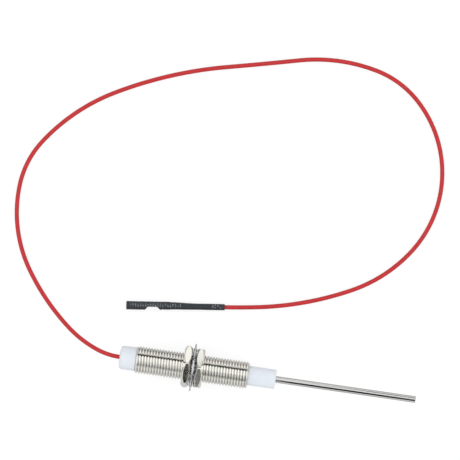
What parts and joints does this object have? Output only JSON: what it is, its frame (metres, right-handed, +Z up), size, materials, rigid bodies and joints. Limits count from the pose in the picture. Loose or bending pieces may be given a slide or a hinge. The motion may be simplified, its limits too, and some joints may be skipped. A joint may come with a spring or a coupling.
{
  "type": "flame sensor probe",
  "caption": "Flame sensing rod in a ceramic insulator, held in a threaded tube with clamp nuts and a lock washer, with a flexible lead to a sleeved push-on terminal.",
  "frame": {"origin": "on the probe's axis, at the threaded tube's front end face", "axes": "+X along the probe's axis towards the electrode's tip, +Z up from the bench that the lead lies on"},
  "size_m": [0.1874, 0.1545, 0.021],
  "materials": {
    "nickel_plate": "nickel plated, satin",
    "nut_nickel": "nickel plated, polished facets",
    "washer_steel": "plain stamped spring steel",
    "alumina": "fired ceramic, matt",
    "cement": "cast cement",
    "potting": "cast silicone compound",
    "rod_steel": "drawn heat-resistant alloy",
    "ferrule_copper": "tinned copper",
    "sleeve_clear": "natural PTFE tube",
    "silicone_red": "silicone rubber, satin",
    "copper_strand": "stranded copper",
    "terminal_brass": "tinned brass",
    "sleeve_black": "heat-shrunk polyolefin, satin"
  },
  "bodies": {
    "probe": {"threaded_tube": "nickel_plate", "front_insulator": "alumina", "front_cement": "cement", "rear_insulator": "alumina", "rear_potting": "potting", "electrode_rod": "rod_steel", "joint_ferrule": "ferrule_copper", "joint_sleeve": "sleeve_clear"},
    "washer": {"lock_washer": "washer_steel"},
    "front_nut": {"front_nut": "nut_nickel"},
    "rear_nut": {"rear_nut": "nut_nickel"},
    "lead": {"lead_jacket": "silicone_red", "lead_conductor": "copper_strand"},
    "terminal_end": {"push_on_terminal": "terminal_brass", "shrink_sleeve": "sleeve_black"}
  },
  "joints": [
    {"name": "clamp_set_slide", "type": "slide", "parent": "probe", "child": "washer", "axis": [1, 0, 0], "range_m": [-0.0175, 0.0175]},
    {"name": "front_nut_turn", "type": "hinge", "parent": "washer", "child": "front_nut", "pos_m": [0, 0, 0], "axis": [1, 0, 0], "range_deg": [-5041, 5041]},
    {"name": "rear_nut_turn", "type": "hinge", "parent": "washer", "child": "rear_nut", "pos_m": [0, 0, 0], "axis": [1, 0, 0], "range_deg": [-5041, 5041]},
    {"name": "lead_sway", "type": "hinge", "parent": "probe", "child": "lead", "pos_m": [-0.0571, 0, 0], "axis": [0, 0, 1], "range_deg": [-8, 15], "deforming": ["lead_jacket", "lead_conductor"]},
    {"name": "lead_end_sway", "type": "hinge", "parent": "lead", "child": "terminal_end", "pos_m": [-0.01446, 0.02804, -0.00847], "axis": [0, 0, 1], "range_deg": [-40, 20]}
  ],
  "couplings": [
    {"joint": "front_nut_turn", "follows": "clamp_set_slide", "rad_per_m": 5026.5},
    {"joint": "rear_nut_turn", "follows": "clamp_set_slide", "rad_per_m": 5026.5}
  ]
}
